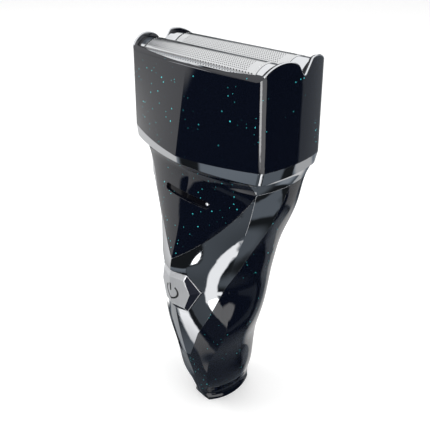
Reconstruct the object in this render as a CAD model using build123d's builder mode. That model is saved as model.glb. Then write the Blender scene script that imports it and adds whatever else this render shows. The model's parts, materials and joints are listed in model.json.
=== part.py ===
"""Two-foil electric shaver that stands upright on its foot.

Millimetres, +Z up, the front faces -Y. The origin is the centre of the foot's flat underside.
The left and right halves mirror each other about X = 0.
"""
from build123d import *
import os
from math import cos, hypot, radians, sin, sqrt

os.makedirs("parts", exist_ok=True)

# ---------------------------------------------------------------- driving dimensions
# Heights of the joints between the outer pieces.
neck_z = 111.0            # top of the handle
band_z = 116.4            # foot of the chrome band under the head
head_z = 120.4            # foot of the head shell at its corners
chin_drop = 1.6           # how much lower the head shell reaches at its front centre
lip_z = 146.4             # straight top edge of the head shell's front and back walls
fit = 0.1                 # gap between pieces that fit into each other
lift_fit = 0.3            # gap round the removable head
shell_wall = 1.8          # wall of the handle's outer pieces
head_wall = 1.4           # wall of the head shell
rim_height = 4.0          # collar's rim inside the foot of the head shell
rim_wall = 1.2

# Outline of the handle, level by level, from the foot to the band: height, nose y, ridge x, ridge y,
# bulge between nose and ridge, widest half width, its y, rear corner x, rear corner y, back y.
neck_level = (neck_z, -16.6, 26.7, -12.2, 1.4, 29.2, -0.5, 27.9, 10.6, 13.0)
handle_levels = [
    (0.0, -12.2, 4.4, -12.0, 0.1, 8.8, 2.8, 6.5, 10.6, 12.2),
    (12.0, -15.3, 6.0, -14.9, 0.1, 10.9, 2.0, 8.0, 10.4, 12.2),
    (26.0, -19.0, 8.8, -16.8, 0.2, 12.7, 1.5, 9.4, 10.2, 12.4),
    (38.0, -21.7, 13.2, -17.2, 0.4, 15.2, 0.5, 11.4, 9.8, 12.5),
    (49.0, -23.6, 17.4, -16.0, 0.8, 18.7, -1.0, 14.6, 9.0, 12.6),
    (60.0, -24.9, 17.0, -13.4, 2.0, 19.6, 0.5, 16.6, 8.8, 12.8),
    (72.0, -25.8, 16.6, -13.2, 2.3, 20.4, 2.0, 18.2, 9.0, 13.2),
    (83.0, -24.8, 19.0, -13.0, 2.3, 22.2, 2.0, 20.2, 9.6, 13.4),
    (94.0, -21.5, 22.8, -12.7, 2.1, 25.6, 1.0, 24.0, 10.0, 13.4),
    (103.0, -18.3, 25.2, -12.4, 1.7, 28.1, 0.0, 26.4, 10.4, 13.2),
    neck_level,
    (113.8, -17.9, 27.8, -12.9, 1.3, 30.0, -0.4, 28.5, 11.6, 14.0),
    (band_z, -20.7, 29.6, -14.4, 1.3, 31.5, -0.4, 29.6, 13.4, 15.8),
]

# Outline of the band and head block, in the same terms.
band_foot = (band_z, -21.3, 30.1, -14.8, 1.3, 32.0, -0.4, 30.1, 13.8, 16.4)
head_foot = (head_z, -21.5, 30.8, -14.7, 1.3, 32.9, -0.5, 30.8, 14.0, 16.6)
head_top = (152.0, -15.2, 29.1, -14.9, 0.2, 31.9, -0.6, 29.1, 13.8, 15.6)
front_round = 2.6         # rounding of the head block's front corners
rear_round = 6.0          # rounding of its rear corners

# Foils: two arches that run along X.
foil_centre_y = -0.8      # middle between the two foils
foil_pitch = 13.2         # distance between the two arches' centre lines
foil_axis_z = 142.1       # height of the arches' centre lines
foil_radius = 8.0         # outside of the arch
foil_half_width = 5.5     # outside of the straight skirts
foil_sheet = 0.3          # thickness of the sheet, with its backing strip
foil_half_length = 25.0
foil_end = 0.8            # cap that closes each end of the arch
foil_foot_z = 137.9       # foot of the straight sheet below the arch
cheek_rise = 0.8          # hump of the head shell above each foil's end
valley_y = 0.2            # dip between the two humps
valley_round = 1.2
valley_lean = 35.0        # lean of the dip's flanks, in degrees
foil_float = 1.2          # how far a foil can be pressed down
frame_depth = 6.6         # height of the foil frame
frame_rise = 0.9          # frame above the head shell's lip

# Cutters under the foils.
stroke = 1.2              # side-to-side movement each way
blade_count = 28
blade_thickness = 0.4
blade_gap = 0.12          # between the blade's arc and the foil
blade_width = 1.7         # radial width of a blade's arch
carrier_round = 1.5       # rounding of a carrier's corners
carrier_height = 2.6
carrier_top_z = 140.5     # where the blades stand on their carrier
carrier_end = 1.0         # carrier beyond the last blade
post_radius = 1.5
post_reach = 0.6          # guide post inside its bore at rest
post_spacing = 32.0       # between a cutter's two guide posts
post_fit = 0.06
spring_radius = 2.2
spring_wire = 0.5
spring_turns = 3

# Drive.
drive_y = -0.5            # axis of the cell, motor and shaft
bridge_z = 127.0          # underside of the drive bridge
bridge_thickness = 3.0
bridge_length = 44.0
bridge_width = 24.0
bridge_round = 3.0
motor_radius = 9.5
motor_length = 25.0
motor_chamfer = 0.6
motor_boss_radius = 3.0
motor_boss_height = 1.6
cup_wall = 1.4
cup_floor = 1.6
cup_height = 11.0
shaft_radius = 1.2
shaft_fit = 0.08
eccentric_radius = 3.6
eccentric_height = 4.0
eccentric_rise = 1.0      # eccentric above the shaft's seal
pin_radius = 1.0
leaf_thickness = 0.4
leaf_width = 12.0
leaf_spacing = 38.0

# Deck under the head, with the spigot that centres the neck ring and the band.
deck_thickness = 3.0
spigot_reach = 1.6        # spigot inside the band, above the neck ring
spigot_wall = 1.6
spigot_inset = 3.2        # spigot's outside, in from the neck's outline
seal_height = 1.6
seal_radius = 4.0
seal_slope = 1.3
deck_post_radius = 2.0    # posts that carry the deck's screws

# Cell, chassis and board.
cell_radius = 7.0
cell_length = 51.0
cell_foot_z = 24.0
cell_gap = 0.4
cell_chamfer = 0.4
contact_sheet = 0.5
contact_width = 6.3
contact_length = 10.5
shelf_web = 8.4           # web from the spine to the cell's shelf and the motor's cup
spine_thickness = 1.6
spine_half_width = 7.6
spine_foot_half_width = 3.0
spine_foot_z = 2.7
spine_flare_foot_z = 11.7 # the spine widens from here
spine_flare_top_z = 34.0  # to here
board_thickness = 1.2
board_half_width = 7.4
board_foot_z = 36.0
board_top_z = 106.0
board_gap = 0.3           # board to the motor cup
board_round = 1.5
peg_radius = 1.4
peg_inset = 2.0           # pegs in from the spine's edge
peg_rise = 6.0            # pegs in from the board's foot and the cup's floor
lamp_width = 3.0
lamp_height = 1.5
lamp_depth = 1.2
foot_plate = 2.6
inlet_width = 9.0
inlet_height = 3.3
inlet_depth = 7.4
inlet_y = 3.0
inlet_wall = 0.4
tongue_width = 6.8
tongue_thickness = 0.7
tongue_rise = 1.0         # tongue above the socket's mouth
screw_radius = 1.1
screw_head_radius = 2.1
screw_head_height = 1.2
screw_length = 7.0
front_screw_y = -7.0
rear_screw_y = 7.8
rear_boss = 5.0
boss_height = 8.0

# Button: outer rim on the fascia, raised face inside it, folded along X = 0.
button_travel = 0.8
button_fit = 0.15
button_rim = [(0, -25.8, 75.9), (6.1, -23.8, 75.6), (10.2, -20.9, 68.4), (5.6, -23.6, 58.7), (0, -24.8, 58.3)]
button_face = [(0, -26.8, 72.5), (5.2, -25.4, 72.7), (7.4, -24.2, 67.8), (4.9, -25.4, 61.4), (0, -26.6, 60.6)]
button_back_y = -17.1
button_z = 67.3
flange_depth = 0.8
flange_lip = 0.8
switch_size = 6.0
switch_depth = 2.0
plunger_radius = 1.4
plunger_reach = 0.6       # how far the plunger stands in its bore at rest

# Slot across the front panel.
slot_z = 103.1
slot_length = 22.0
slot_height = 2.2
slot_depth = 1.1

# Edges of the coloured pieces, as points on the right side of the handle: x, y, z.
panel_edge = [(26.7, neck_z), (12.9, 91.9), (0.0, 80.7)]
panel_top_x = 25.0        # half width of the panel at the band
strap_front = [(28.6, 2.0, neck_z), (24.3, -3.0, 94.0), (15.7, -14.2, 69.6), (12.3, -18.5, 58.0),
               (8.0, -20.8, 47.6), (2.4, -20.3, 31.7), (0.0, -20.6, 31.0)]
strap_rear = [(28.3, 10.4, neck_z), (23.4, 8.0, 91.0), (19.9, 2.2, 73.0), (18.9, 0.6, 58.5),
              (17.4, -16.0, 49.0), (11.2, -17.1, 32.5), (6.8, -15.4, 16.0), (4.4, -12.0, 0.0)]


# ---------------------------------------------------------------- shapes used by several pieces
over = 5.0                # how far cutting tools reach past what they cut
corner_reach = 20.0       # the head block's corners lie further out than this
corner_share = 0.8        # share of an inset that moves a corner along each axis
far = 60.0                # reach of a cut that goes right through


def outline_points(level, inset):
    """The outline's named points, moved inwards by inset, a corner by its share of it along each axis."""
    z, nose, ridge_x, ridge_y, bulge, half, wide_y, rear_x, rear_y, back = level
    slant = corner_share * inset
    front = (0, nose + inset)
    ridge = (ridge_x - slant, ridge_y + slant)
    side = (half - inset, wide_y)
    rear = (rear_x - slant, rear_y - slant)
    return z, front, ridge, bulge, side, rear, (0, back - inset)


def bulged_middle(start, end, bulge):
    """A point beside the middle of the chord from start to end, bulge to its right."""
    dx, dy = end[0] - start[0], end[1] - start[1]
    length = hypot(dx, dy)
    return ((start[0] + end[0]) / 2 + bulge * dy / length, (start[1] + end[1]) / 2 - bulge * dx / length)


def flipped(point):
    """The point's mirror image on the left side."""
    return (-point[0], point[1])


def outline_face(level, inset=0.0, height=None):
    """A level's outline as a face: two arcs meet at the front nose, an arc on each side, one at the back."""
    z, front, ridge, bulge, side, rear, back = outline_points(level, inset)
    middle = bulged_middle(front, ridge, bulge)
    with BuildSketch(Plane.XY.offset(z if height is None else height)) as face:
        with BuildLine():
            ThreePointArc(front, middle, ridge)
            ThreePointArc(ridge, side, rear)
            ThreePointArc(rear, back, flipped(rear))
            ThreePointArc(flipped(rear), flipped(side), flipped(ridge))
            ThreePointArc(flipped(ridge), flipped(middle), front)
        make_face()
    return face.sketch


def spigot_outline(grow, height):
    """The deck spigot's outside as a face at a height, grown by a margin."""
    return outline_face(neck_level, spigot_inset - grow, height)


def level_between(low, high, z):
    """The outline at height z on the straight line between two levels."""
    share = (z - low[0]) / (high[0] - low[0])
    return tuple(a + share * (b - a) for a, b in zip(low, high))


def handle_form(inset):
    """The handle as one solid, inset from its outer surface."""
    with BuildPart() as form:
        loft([outline_face(level, inset) for level in handle_levels])
    return form.part


def corner_edges(form, side):
    """The upright corner edges of the head block or band: side 1 at the rear, -1 at the front."""
    upright = form.edges().filter_by(lambda e: abs(e.tangent_at(0.5).Z) > 0.9)
    return upright.filter_by(lambda e: abs(e.center().X) > corner_reach and side * e.center().Y > corner_reach / 2)


def head_form(inset, foot, top):
    """The head block between two heights, inset from its outer surface."""
    low = level_between(head_foot, head_top, foot)
    high = level_between(head_foot, head_top, top)
    with BuildPart() as form:
        loft([outline_face(low, inset, foot), outline_face(high, inset, top)], ruled=True)
        fillet(corner_edges(form, 1), rear_round - inset)
        if inset == 0:
            fillet(corner_edges(form, -1), front_round)
    return form.part


side_start = 4.0          # the slanting prisms start this far in front of the axis
side_plane = Plane(origin=(0, 0, 0), x_dir=(1, 1, 0), z_dir=(1, -1, 0))
# Behind this plane, just round the neck's rear corners, there is only the rear housing.
strap_back = Plane(origin=(27.0, 11.2, neck_z), z_dir=(1, -1, -0.08))


def on_side(point):
    """Where a point of the handle's right front lies on the slanting side plane."""
    x, y, z = point
    return ((x + y) / sqrt(2), z)


def right_and_left(points):
    """A prism seen from the right front, kept to X >= 0, and its mirror image."""
    with BuildPart() as tool:
        with BuildSketch(side_plane.offset(side_start)):
            with BuildLine():
                Polyline(*points, close=True)
            make_face()
        extrude(amount=far)
        split(bisect_by=Plane.YZ, keep=Keep.TOP)
        split(bisect_by=strap_back, keep=Keep.TOP)
        mirror(about=Plane.YZ)
    return tool.part


# ---------------------------------------------------------------- outer pieces of the handle
handle_outer = handle_form(0)
handle_inner = handle_form(shell_wall)
handle_filling = handle_form(shell_wall + fit)
with BuildPart() as handle_wall:
    add(handle_outer)
    add(handle_inner, mode=Mode.SUBTRACT)
    split(bisect_by=Plane.XY.offset(neck_z), keep=Keep.BOTTOM)

panel_corner_x = panel_edge[0][0]
panel_back_y = neck_level[3] + shell_wall
with BuildPart() as panel_tool:
    with BuildSketch(Plane.XZ.offset(-panel_back_y)):
        with BuildLine():
            edge = ThreePointArc(*panel_edge)
            mirror(edge, about=Plane.YZ)
            Polyline((panel_corner_x, neck_z), (panel_top_x, band_z), (-panel_top_x, band_z),
                     (-panel_corner_x, neck_z))
        make_face()
    extrude(amount=far)

left_x = -40.0
front_edge = [on_side(point) for point in strap_front]
rear_edge = [on_side(point) for point in strap_rear]
front_region = right_and_left(
    [(left_x, neck_z + over), (front_edge[0][0], neck_z + over), *front_edge, (left_x, front_edge[-1][1])])
strap_region = right_and_left(
    [(left_x, neck_z + over), (rear_edge[0][0], neck_z + over), *rear_edge,
     (rear_edge[-1][0], -over), (left_x, -over)])


def button_outline(grow):
    """The button's hexagon seen from the front, grown by a margin."""
    half = [(x, z) for x, y, z in button_rim]
    with BuildSketch(Plane.XZ) as outline:
        with BuildLine():
            Polyline(*half, *[flipped(point) for point in half[-2:0:-1]], close=True)
        make_face()
        if grow > 0:
            offset(amount=grow, kind=Kind.INTERSECTION)
    return outline.sketch


with BuildPart() as slot_tool:
    with BuildSketch(Plane.XZ):
        with Locations((0, slot_z)):
            SlotOverall(slot_length, slot_height)
    extrude(amount=far)

# The neck flares out from the handle's top to the band: its front belongs to the panel, and the
# rest is the chrome ring.
with BuildPart() as neck_flare:
    add(handle_outer)
    split(bisect_by=Plane.XY.offset(neck_z), keep=Keep.TOP)
    extrude(spigot_outline(fit, neck_z), amount=band_z - neck_z, mode=Mode.SUBTRACT)

with BuildPart() as front_panel:
    add(handle_wall.part)
    add(neck_flare.part)
    add(panel_tool.part, mode=Mode.INTERSECT)
    add(slot_tool.part, mode=Mode.SUBTRACT)
front_panel.part.label = "front_panel"

# The slot's dark window lies below the panel's face and fills the slot behind it.
with BuildPart() as slot_window:
    with BuildSketch(Plane.XZ):
        with Locations((0, slot_z)):
            SlotOverall(slot_length - 2 * fit, slot_height - 2 * fit)
    extrude(amount=far)
    add(handle_form(slot_depth), mode=Mode.INTERSECT)
    add(handle_inner, mode=Mode.SUBTRACT)
slot_window.part.label = "slot_window"

with BuildPart() as wall_below_panel:
    add(handle_wall.part)
    add(panel_tool.part, mode=Mode.SUBTRACT)

with BuildPart() as chrome_fascia:
    add(wall_below_panel.part)
    add(front_region, mode=Mode.INTERSECT)
    extrude(button_outline(button_fit), amount=far, mode=Mode.SUBTRACT)
chrome_fascia.part.label = "chrome_fascia"

with BuildPart() as wall_behind_fascia:
    add(wall_below_panel.part)
    add(front_region, mode=Mode.SUBTRACT)

with BuildPart() as strap_yoke:
    add(wall_behind_fascia.part)
    add(strap_region, mode=Mode.INTERSECT)
strap_yoke.part.label = "strap_yoke"

with BuildPart() as rear_housing:
    add(wall_behind_fascia.part)
    add(strap_region, mode=Mode.SUBTRACT)
    boss_back_y = handle_levels[0][9] - shell_wall / 2
    with BuildSketch(Plane.XY.offset(foot_plate + fit)):
        with Locations((0, (rear_screw_y - rear_boss / 2 + boss_back_y) / 2)):
            Rectangle(rear_boss, boss_back_y - rear_screw_y + rear_boss / 2)
    extrude(amount=boss_height)
    with BuildSketch(Plane.XY.offset(foot_plate)):
        with Locations((0, rear_screw_y)):
            Circle(screw_radius)
    extrude(amount=screw_length, mode=Mode.SUBTRACT)
rear_housing.part.label = "rear_housing"

# ---------------------------------------------------------------- foot: cap, charging socket, screws
with BuildPart() as base_cap:
    add(handle_filling)
    split(bisect_by=Plane.XY.offset(foot_plate), keep=Keep.BOTTOM)
    with Locations(Location((0, front_screw_y, 0), (180, 0, 0)), Location((0, rear_screw_y, 0), (180, 0, 0))):
        CounterBoreHole(screw_radius + fit, screw_head_radius + fit, screw_head_height, foot_plate)
    with BuildSketch():
        with Locations((0, inlet_y)):
            RectangleRounded(inlet_width + 2 * (inlet_wall + fit), inlet_height + 2 * (inlet_wall + fit),
                             inlet_height / 2)
    extrude(amount=foot_plate, mode=Mode.SUBTRACT)
base_cap.part.label = "base_cap"

with BuildPart() as charging_socket:
    with BuildSketch(Plane.XY.offset(fit)):
        with Locations((0, inlet_y)):
            RectangleRounded(inlet_width + 2 * inlet_wall, inlet_height + 2 * inlet_wall, inlet_height / 2)
    extrude(amount=inlet_depth)
    with BuildSketch(Plane.XY.offset(fit)):
        with Locations((0, inlet_y)):
            RectangleRounded(inlet_width, inlet_height, inlet_height / 2 - fit)
    extrude(amount=inlet_depth - 2 * inlet_wall, mode=Mode.SUBTRACT)
    with BuildSketch(Plane.XY.offset(fit + tongue_rise)):
        with Locations((0, inlet_y)):
            Rectangle(tongue_width, tongue_thickness)
    extrude(amount=inlet_depth - tongue_rise - inlet_wall)
charging_socket.part.label = "charging_socket"

with BuildPart() as base_screws:
    for y in (front_screw_y, rear_screw_y):
        with BuildSketch(Plane.XY.offset(fit)):
            with Locations((0, y)):
                Circle(screw_head_radius)
        extrude(amount=screw_head_height - fit)
        with BuildSketch(Plane.XY.offset(screw_head_height - fit)):
            with Locations((0, y)):
                Circle(screw_radius)
        extrude(amount=screw_length)
base_screws.part.label = "base_screws"

# ---------------------------------------------------------------- chassis, cell, board
spine_front_y = drive_y - cell_radius - cell_gap - spine_thickness
contact_foot_z = cell_foot_z - contact_sheet
cup_floor_z = cell_foot_z + cell_length + contact_sheet
motor_foot_z = cup_floor_z + cup_floor
cup_radius = motor_radius + fit + cup_wall
deck_foot_z = neck_z - deck_thickness
post_x = cup_radius + deck_post_radius / 2
board_back_y = drive_y - cup_radius - board_gap
peg_z = (board_foot_z + peg_rise, cup_floor_z - peg_rise)
peg_x = spine_half_width - peg_inset
with BuildPart() as inner_chassis:
    with BuildSketch(Plane.XZ.offset(-spine_front_y)):
        with BuildLine():
            half = [(spine_foot_half_width, spine_foot_z), (spine_foot_half_width, spine_flare_foot_z),
                    (spine_half_width, spine_flare_top_z), (spine_half_width, motor_foot_z)]
            Polyline(*half, *[flipped(point) for point in reversed(half)], close=True)
        make_face()
    extrude(amount=-spine_thickness)
    # Foot block for the front screw.
    with BuildSketch(Plane.XY.offset(spine_foot_z)):
        with Locations((0, (spine_front_y + front_screw_y + spine_foot_half_width) / 2)):
            Rectangle(2 * spine_foot_half_width, front_screw_y + spine_foot_half_width - spine_front_y)
    extrude(amount=boss_height)
    with BuildSketch(Plane.XY.offset(spine_foot_z)):
        with Locations((0, front_screw_y)):
            Circle(screw_radius)
    extrude(amount=screw_length, mode=Mode.SUBTRACT)
    # Shelf under the cell and cup round the motor.
    for shelf_z, radius, height in ((contact_foot_z - cup_floor, cell_radius, cup_floor),
                                    (cup_floor_z, cup_radius, cup_floor + cup_height)):
        with BuildSketch(Plane.XY.offset(shelf_z)):
            with Locations((0, drive_y)):
                Circle(radius)
            with Locations((0, (spine_front_y + drive_y) / 2)):
                Rectangle(shelf_web, drive_y - spine_front_y)
        extrude(amount=height)
    with BuildSketch(Plane.XY.offset(cup_floor_z)):
        with Locations((-post_x, drive_y), (post_x, drive_y)):
            Circle(deck_post_radius)
    extrude(amount=deck_foot_z - fit - cup_floor_z)
    with BuildSketch(Plane.XY.offset(motor_foot_z)):
        with Locations((0, drive_y)):
            Circle(motor_radius + fit)
    extrude(amount=cup_height, mode=Mode.SUBTRACT)
    with BuildSketch(Plane.XY.offset(deck_foot_z - boss_height)):
        with Locations((-post_x, drive_y), (post_x, drive_y)):
            Circle(screw_radius)
    extrude(amount=boss_height, mode=Mode.SUBTRACT)
    # Pegs that hold the board off the spine.
    with BuildSketch(Plane.XZ.offset(-spine_front_y)):
        with Locations(*[(x, z) for x in (-peg_x, peg_x) for z in peg_z]):
            Circle(peg_radius)
    extrude(amount=spine_front_y - board_back_y)
inner_chassis.part.label = "inner_chassis"

with BuildPart() as cell:
    with BuildSketch(Plane.XY.offset(cell_foot_z)):
        with Locations((0, drive_y)):
            Circle(cell_radius)
    extrude(amount=cell_length)
    chamfer(cell.edges().filter_by(GeomType.CIRCLE), cell_chamfer)
cell.part.label = "cell"

with BuildPart() as cell_contacts:
    for z in (contact_foot_z, cell_foot_z + cell_length):
        with BuildSketch(Plane.XY.offset(z)):
            with Locations((0, drive_y)):
                Rectangle(contact_width, contact_length)
        extrude(amount=contact_sheet)
cell_contacts.part.label = "cell_contacts"

with BuildPart() as circuit_board:
    with BuildSketch(Plane.XZ.offset(-board_back_y)):
        with Locations((0, (board_foot_z + board_top_z) / 2)):
            RectangleRounded(2 * board_half_width, board_top_z - board_foot_z, board_round)
    extrude(amount=board_thickness)
circuit_board.part.label = "circuit_board"

board_front_y = board_back_y - board_thickness
with BuildPart() as indicator_lamp:
    with BuildSketch(Plane.XZ.offset(-board_front_y)):
        with Locations((0, slot_z)):
            Rectangle(lamp_width, lamp_height)
    extrude(amount=lamp_depth)
indicator_lamp.part.label = "indicator_lamp"

bore_depth = plunger_reach + button_travel + fit
with BuildPart() as push_switch:
    with BuildSketch(Plane.XZ.offset(-board_front_y)):
        with Locations((0, button_z)):
            Rectangle(switch_size, switch_size)
    extrude(amount=switch_depth)
    with BuildSketch(Plane.XZ.offset(-board_front_y + switch_depth - bore_depth)):
        with Locations((0, button_z)):
            Circle(plunger_radius + fit)
    extrude(amount=bore_depth, mode=Mode.SUBTRACT)
push_switch.part.label = "push_switch"

# ---------------------------------------------------------------- power button
def outward_plane(a, b, c):
    """The plane through three points of the button's right half, its normal towards the front."""
    normal = (Vector(*b) - Vector(*a)).cross(Vector(*c) - Vector(*a))
    return Plane(origin=a, z_dir=normal if normal.Y < 0 else -normal)


# Each bevel runs through two rim corners and a face corner, and the face is one more plane.
bevel_corners = ((0, 1, 1), (1, 2, 2), (2, 3, 2), (3, 4, 3))
bevels = [outward_plane(button_rim[a], button_rim[b], button_face[c]) for a, b, c in bevel_corners]
button_planes = [*bevels, outward_plane(button_face[0], button_face[2], button_face[4])]
with BuildPart() as power_button:
    extrude(button_outline(0), amount=far)
    split(bisect_by=Plane.YZ, keep=Keep.TOP)
    for plane in button_planes:
        split(bisect_by=plane, keep=Keep.BOTTOM)
    mirror(about=Plane.YZ)
    split(bisect_by=Plane.XZ.offset(-button_back_y), keep=Keep.TOP)
    extrude(button_outline(flange_lip).moved(Location((0, button_back_y + flange_depth, 0))), amount=flange_depth)
power_button.part.label = "power_button"

switch_front_y = board_front_y - switch_depth
with BuildPart() as switch_plunger:
    with BuildSketch(Plane.XZ.offset(-switch_front_y - plunger_reach)):
        with Locations((0, button_z)):
            Circle(plunger_radius)
    extrude(amount=switch_front_y - button_back_y - flange_depth + plunger_reach)
switch_plunger.part.label = "switch_plunger"

# ---------------------------------------------------------------- deck, spigot, rings under the head
with BuildPart() as top_deck:
    add(handle_filling)
    split(bisect_by=Plane.XY.offset(deck_foot_z), keep=Keep.TOP)
    split(bisect_by=Plane.XY.offset(neck_z), keep=Keep.BOTTOM)
    extrude(spigot_outline(0, neck_z), amount=band_z + spigot_reach - neck_z)
    extrude(spigot_outline(-spigot_wall, neck_z), amount=band_z + spigot_reach - neck_z, mode=Mode.SUBTRACT)
    with Locations((0, drive_y, neck_z)):
        Hole(shaft_radius + lift_fit, deck_thickness)
    with Locations((-post_x, drive_y, neck_z), (post_x, drive_y, neck_z)):
        CounterBoreHole(screw_radius + fit, screw_head_radius + fit, screw_head_height, deck_thickness)
top_deck.part.label = "top_deck"

with BuildPart() as deck_screws:
    for x in (-post_x, post_x):
        with BuildSketch(Plane.XY.offset(neck_z - screw_head_height)):
            with Locations((x, drive_y)):
                Circle(screw_head_radius)
        extrude(amount=screw_head_height)
        with BuildSketch(Plane.XY.offset(neck_z - screw_head_height)):
            with Locations((x, drive_y)):
                Circle(screw_radius)
        extrude(amount=-boss_height)
deck_screws.part.label = "deck_screws"

with BuildPart() as shaft_seal:
    with BuildSketch(Plane.XY.offset(neck_z)):
        with Locations((0, drive_y)):
            Circle(seal_radius)
            Circle(shaft_radius + shaft_fit, mode=Mode.SUBTRACT)
    extrude(amount=seal_height)
    chamfer(shaft_seal.edges().group_by(Axis.Z)[-1].sort_by(SortBy.LENGTH)[-1], seal_slope)
shaft_seal.part.label = "shaft_seal"

with BuildPart() as neck_ring:
    add(neck_flare.part)
    add(panel_tool.part, mode=Mode.SUBTRACT)
neck_ring.part.label = "neck_ring"

# The head shell's lower edge drops to a shallow point at the front and back centre.
with BuildPart() as above_chin:
    with BuildSketch(Plane.XZ):
        with BuildLine():
            corner_x = head_foot[2]
            Polyline((0, head_z - chin_drop), (corner_x, head_z), (far, head_z), (far, head_z + far),
                     (-far, head_z + far), (-far, head_z), (-corner_x, head_z), close=True)
        make_face()
    extrude(amount=far, both=True)

with BuildPart() as collar_band:
    loft([outline_face(band_foot), outline_face(head_foot)], ruled=True)
    fillet(corner_edges(collar_band, 1), rear_round)
    fillet(corner_edges(collar_band, -1), front_round)
    add(above_chin.part, mode=Mode.SUBTRACT)
    rim_foot_z = band_z + spigot_reach + fit
    rim_inset = head_wall + lift_fit
    add(head_form(rim_inset, rim_foot_z, head_z + rim_height))
    add(head_form(rim_inset + rim_wall, rim_foot_z, head_z + rim_height), mode=Mode.SUBTRACT)
    extrude(spigot_outline(fit, band_z), amount=far, mode=Mode.SUBTRACT)
collar_band.part.label = "collar_band"

# ---------------------------------------------------------------- head shell, foil frame, foils
foil_ys = (foil_centre_y - foil_pitch / 2, foil_centre_y + foil_pitch / 2)
lean = radians(valley_lean)
valley_z = lip_z + valley_round
flank_y = valley_round * cos(lean)
flank_z = valley_z - valley_round * sin(lean)
with BuildPart() as head_shell:
    add(head_form(0, head_z - chin_drop, head_top[0]))
    add(head_form(head_wall, head_z - chin_drop, head_top[0]), mode=Mode.SUBTRACT)
    add(above_chin.part, mode=Mode.INTERSECT)
    # Above the lip only the cheeks' humps stay, with a rounded dip between them.
    with BuildSketch(Plane.YZ):
        with Locations((0, lip_z + far / 2)):
            Rectangle(2 * far, far)
        with Locations(*[(y, foil_axis_z) for y in foil_ys]):
            Circle(foil_radius + cheek_rise, mode=Mode.SUBTRACT)
        with Locations((valley_y, valley_z)):
            Circle(valley_round)
        with BuildLine():
            Polyline((valley_y - flank_y, flank_z), (valley_y + flank_y, flank_z),
                     (valley_y + flank_y + far * sin(lean), flank_z + far * cos(lean)),
                     (valley_y - flank_y - far * sin(lean), flank_z + far * cos(lean)), close=True)
        make_face()
    extrude(amount=far, both=True, mode=Mode.SUBTRACT)
head_shell.part.label = "head_shell"

def arch(centre_y, inset, foot_z):
    """A foil's outline moved inwards by inset, to add to a sketch on an upright plane: a shallow arc on two
    straight sides that end at foot_z."""
    radius = foil_radius - inset
    half = foil_half_width - inset
    spring_z = foil_axis_z + sqrt(radius ** 2 - half ** 2)
    with BuildSketch(Plane.XY) as outline:
        with BuildLine():
            ThreePointArc((centre_y - half, spring_z), (centre_y, foil_axis_z + radius), (centre_y + half, spring_z))
            Polyline((centre_y - half, spring_z), (centre_y - half, foot_z), (centre_y + half, foot_z),
                     (centre_y + half, spring_z))
        make_face()
    return outline.sketch


frame_top_z = lip_z + frame_rise
frame_foot_z = frame_top_z - frame_depth
with BuildPart() as foil_frame:
    add(head_form(head_wall + fit, frame_foot_z, head_top[0]))
    # Above the frame's top edge only the covers stay that carry each foil's arch on to the cheeks.
    with BuildSketch(Plane.YZ):
        with Locations((0, frame_top_z + far / 2)):
            Rectangle(2 * far, far)
        for y in foil_ys:
            add(arch(y, fit, foil_foot_z), mode=Mode.SUBTRACT)
    extrude(amount=far, both=True, mode=Mode.SUBTRACT)
    with BuildSketch(Plane.XY.offset(frame_foot_z)):
        with Locations(*[(0, y) for y in foil_ys]):
            Rectangle(2 * (foil_half_length + fit), 2 * (foil_half_width + fit))
    extrude(amount=far, mode=Mode.SUBTRACT)
foil_frame.part.label = "foil_frame"

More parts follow.
